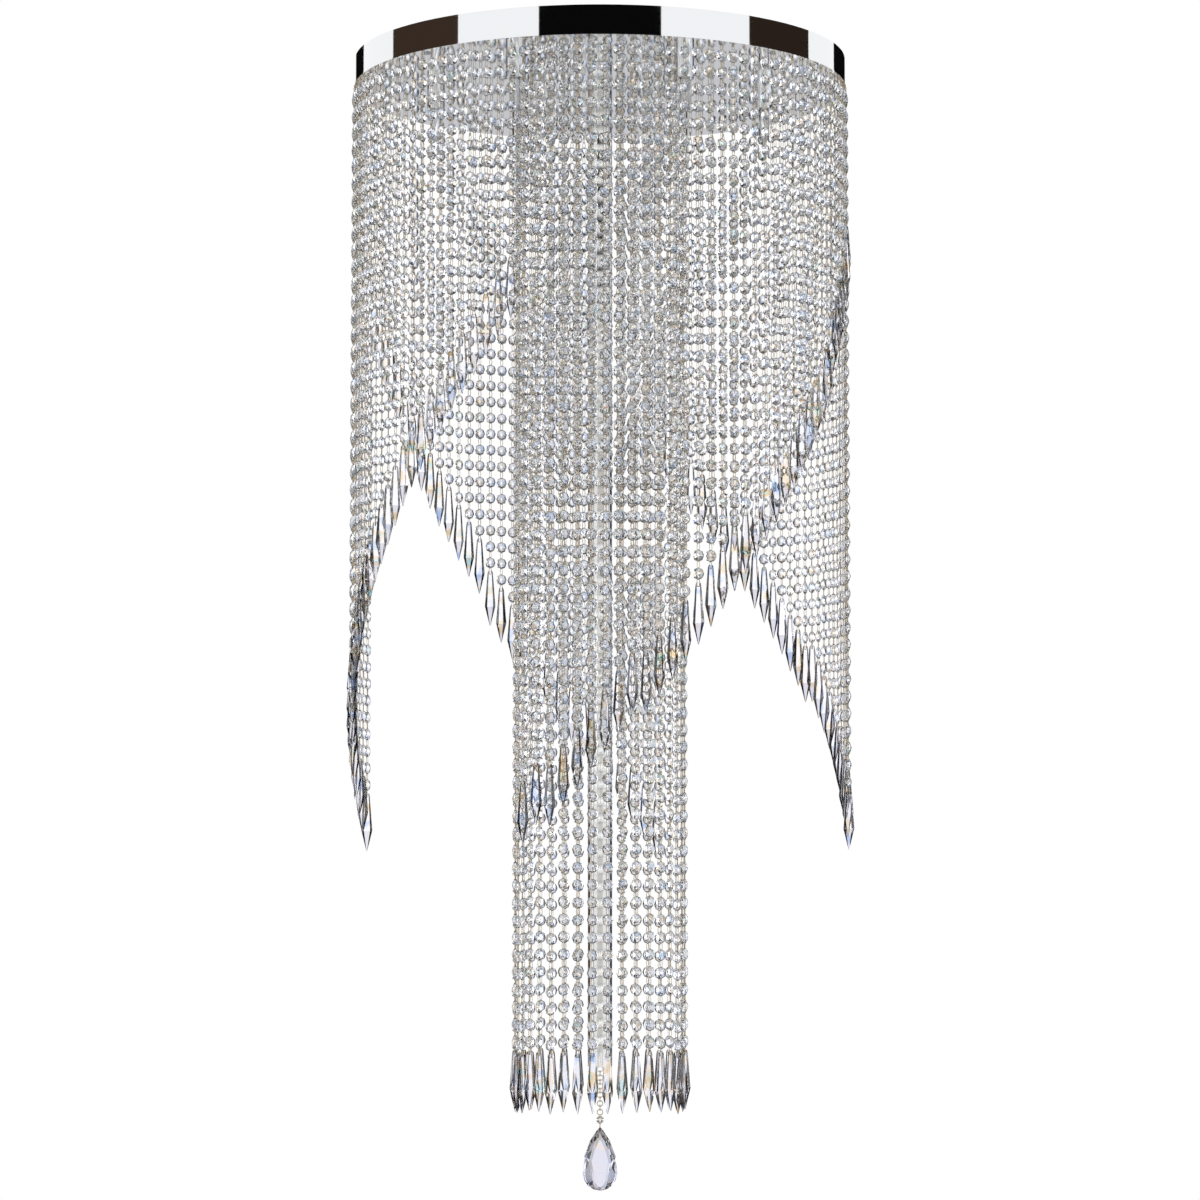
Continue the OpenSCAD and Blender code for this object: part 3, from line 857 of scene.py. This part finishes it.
        # The room, in degrees from the front: white there, an amber and a blue edge, dark, pale grey behind
        walls = [(-180, "#cfcfd2"), (-171, "#cfcfd2"), (-166, "#adb1bb"), (-156, "#9da2ad"),
                 (-150, "#777a84"), (-147, "#101014"), (-112, "#050507"), (-109, "#c0742c"),
                 (-105, "#f3ead9"), (-99, "#ffffff"), (-34, "#ffffff"), (-20, "#dad6cf"), (20, "#dad6cf"),
                 (34, "#ffffff"), (99, "#ffffff"), (105, "#dfe8f7"), (109, "#3f74d0"), (112, "#050507"),
                 (147, "#101014"), (150, "#797a80"), (157, "#9f9ea0"), (165, "#b2ada5"), (171, "#cfcfd2"),
                 (180, "#cfcfd2")]
        sides = add_node(tree, "ShaderNodeValToRGB", links={"Fac": turn.outputs["Result"]})
        ramp_stops(sides, [((angle + 180) / 360, colour) for angle, colour in walls])
        # What the room's colours are multiplied by, from straight down, at 0, to straight up, at 1
        height = add_node(tree, "ShaderNodeMapRange", {"From Min": -1.0, "From Max": 1.0},
                          {"Value": way.outputs["Z"]})
        levels = add_node(tree, "ShaderNodeValToRGB", links={"Fac": height.outputs["Result"]})
        ramp_stops(levels, [(0.0, "#8a8b92"), (0.08, "#101014"), (0.19, "#101014"), (0.23, "#cacbd0"),
                            (0.36, "#dbdbe0"), (0.385, "#ffffff"), (0.6, "#ffffff"), (0.63, "#e1e0e5"),
                            (0.77, "#e8e7ea"), (0.81, "#101014"), (0.92, "#101014"), (1.0, "#cacacf")])
        room = add_node(tree, "ShaderNodeMix", {"Factor": 1.0},
                        {6: sides.outputs["Color"], 7: levels.outputs["Color"]},
                        data_type="RGBA", blend_type="MULTIPLY")
        return cards, room

    def set_camera(self):
        """The photograph's camera: 4.8 m away, below the middle of the light and tilted up."""
        distance, height, tilt = 4.7848, -1.0822, 4.879
        focal_share = 3.2435      # Focal length as a share of the sensor's width
        camera = bpy.data.objects.new("camera", bpy.data.cameras.new("camera"))
        bpy.context.scene.collection.objects.link(camera)
        camera.location = (0, -distance, height)
        camera.rotation_euler = (math.radians(90 + tilt), 0, 0)
        camera.data.sensor_width = 36
        camera.data.lens = focal_share * camera.data.sensor_width
        bpy.context.scene.camera = camera


GROUPS = {"strand_sizes": StrandSizes, "ring_sizes": RingSizes, "prism_sizes": PrismSizes,
          "finish_colours": FinishColours}
OPERATORS = (OBJECT_OT_studio, OBJECT_OT_frame_finishes, OBJECT_OT_cut_beads, OBJECT_OT_wire_links,
             OBJECT_OT_icicle_prisms, OBJECT_OT_hook_eyes, OBJECT_OT_pear_drop, OBJECT_OT_round_bead)


class VIEW3D_PT_ceiling_light(bpy.types.Panel):
    """Sidebar panel with the light's pieces and sizes"""

    bl_label = "Ceiling light"
    bl_space_type = "VIEW_3D"
    bl_region_type = "UI"
    bl_category = "Ceiling light"

    def draw(self, context):
        for name, group in GROUPS.items():
            for size in group.__annotations__:
                self.layout.prop(getattr(context.scene, name), size)
        for maker in OPERATORS:
            self.layout.operator(maker.bl_idname)


def register():
    for group in (*GROUPS.values(), *OPERATORS, VIEW3D_PT_ceiling_light):
        bpy.utils.register_class(group)
    for name, group in GROUPS.items():
        setattr(bpy.types.Scene, name, PointerProperty(type=group))


def unregister():
    for name in GROUPS:
        delattr(bpy.types.Scene, name)
    for group in (VIEW3D_PT_ceiling_light, *reversed(OPERATORS), *reversed(GROUPS.values())):
        bpy.utils.unregister_class(group)


def main():
    register()
    bpy.ops.object.studio()
    bpy.ops.object.frame_finishes()
    bpy.ops.object.cut_beads()
    bpy.ops.object.wire_links()
    bpy.ops.object.icicle_prisms()
    bpy.ops.object.hook_eyes()
    bpy.ops.object.pear_drop()
    bpy.ops.object.round_bead()


if __name__ == "__main__":
    main()
